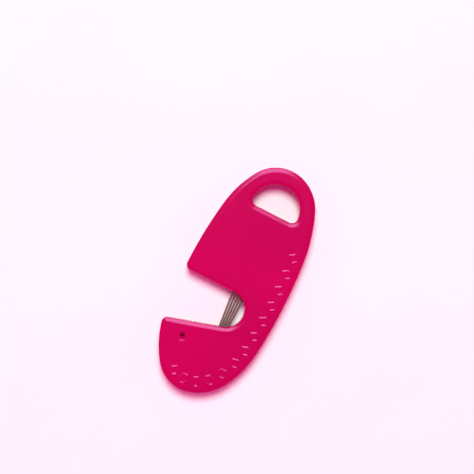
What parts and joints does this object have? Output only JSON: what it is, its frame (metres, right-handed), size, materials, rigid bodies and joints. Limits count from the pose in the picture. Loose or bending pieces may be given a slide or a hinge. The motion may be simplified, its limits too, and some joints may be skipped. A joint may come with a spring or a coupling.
{
  "type": "needle threader",
  "caption": "Flat comma-shaped hand needle threader with a hanging loop, a C-shaped mouth crossed by spare needles, a needle funnel on its foot and a sprung thumb slide on its back.",
  "frame": {"origin": "centre of the case's outline to within a quarter of a millimetre, on the plane that its back rests on", "axes": "+Z out of the front face, +Y along the case from the foot to the hanging loop, the mouth opens towards -X"},
  "size_m": [0.0396, 0.0902, 0.0077],
  "materials": {
    "case_plastic": "high gloss magenta",
    "seat_plastic": "satin magenta",
    "slide_plastic": "satin magenta",
    "blade_steel": "brushed",
    "spring_steel": "drawn wire",
    "needle_steel": "polished nickel plate, gold eye"
  },
  "bodies": {
    "case": {"front_shell": "case_plastic", "rear_shell": "case_plastic", "needle_seat": "seat_plastic", "return_spring": "spring_steel"},
    "slide": {"slide_carriage": "slide_plastic", "thumb_button": "slide_plastic", "pusher_blade": "blade_steel"},
    "spare_1": {"needle_1": "needle_steel"},
    "spare_2": {"needle_2": "needle_steel"},
    "spare_3": {"needle_3": "needle_steel"},
    "spare_4": {"needle_4": "needle_steel"},
    "spare_5": {"needle_5": "needle_steel"}
  },
  "joints": [
    {"name": "thumb_slide", "type": "slide", "parent": "case", "child": "slide", "axis": [-1, 0, 0], "range_m": [0, 0.006], "stiffness_N_per_m": 80, "deforming": ["return_spring"]},
    {"name": "needle_1_slide", "type": "slide", "parent": "case", "child": "spare_1", "axis": [-0.0488, 0.9988, 0], "range_m": [0, 0.0046]},
    {"name": "needle_2_slide", "type": "slide", "parent": "case", "child": "spare_2", "axis": [-0.0192, 0.9998, 0], "range_m": [0, 0.0046]},
    {"name": "needle_3_slide", "type": "slide", "parent": "case", "child": "spare_3", "axis": [0.0105, 0.9999, 0], "range_m": [0, 0.0046]},
    {"name": "needle_4_slide", "type": "slide", "parent": "case", "child": "spare_4", "axis": [0.0401, 0.9992, 0], "range_m": [0, 0.0046]},
    {"name": "needle_5_slide", "type": "slide", "parent": "case", "child": "spare_5", "axis": [0.0698, 0.9976, 0], "range_m": [0, 0.0046]}
  ]
}
